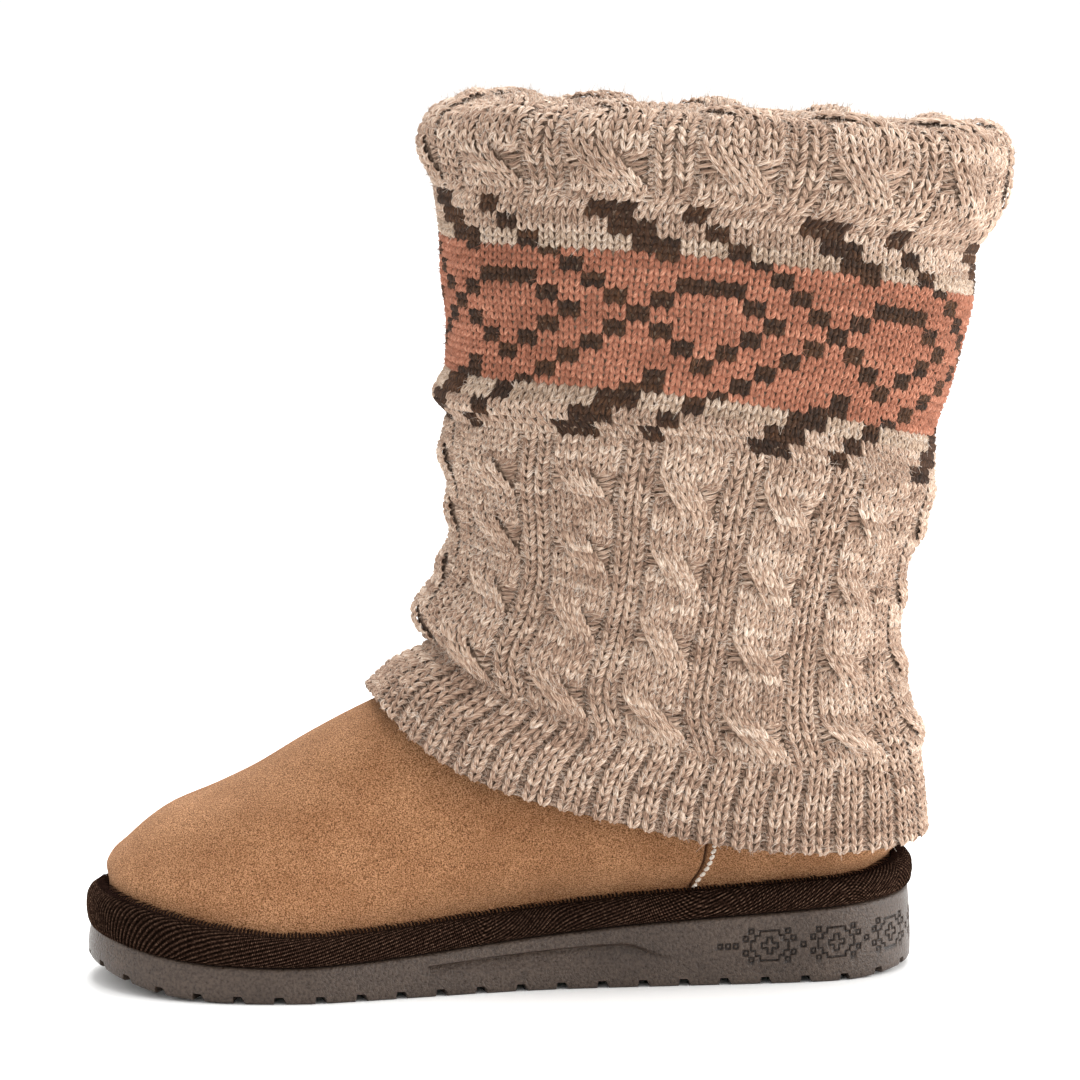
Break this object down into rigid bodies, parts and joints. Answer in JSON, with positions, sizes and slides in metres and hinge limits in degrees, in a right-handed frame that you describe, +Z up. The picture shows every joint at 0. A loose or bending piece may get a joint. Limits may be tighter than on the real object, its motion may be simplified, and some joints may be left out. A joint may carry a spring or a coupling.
{
  "type": "cuff boot",
  "caption": "Pull-on boot for the left foot: napped upper, knitted cuff folded in at the collar, rolled tape round the sole, lugged foam-rubber outsole.",
  "frame": {"origin": "on the ground under the middle of the heel", "axes": "+Z up, -X toward the toe, -Y toward the outer side of the foot"},
  "size_m": [0.3056, 0.1449, 0.2918],
  "materials": {
    "foam_rubber": "matte taupe foam rubber with a fine grain",
    "tape": "dark brown twill tape",
    "fleece": "short tan fleece",
    "napped_leather": "tan nap, mottled, no shine",
    "knit": "heathered beige knit with a coral and brown band"
  },
  "bodies": {
    "root": {"outsole": "foam_rubber", "sole_binding": "tape", "insole": "fleece", "upper": "napped_leather", "knit_cuff": "knit"}
  },
  "joints": []
}
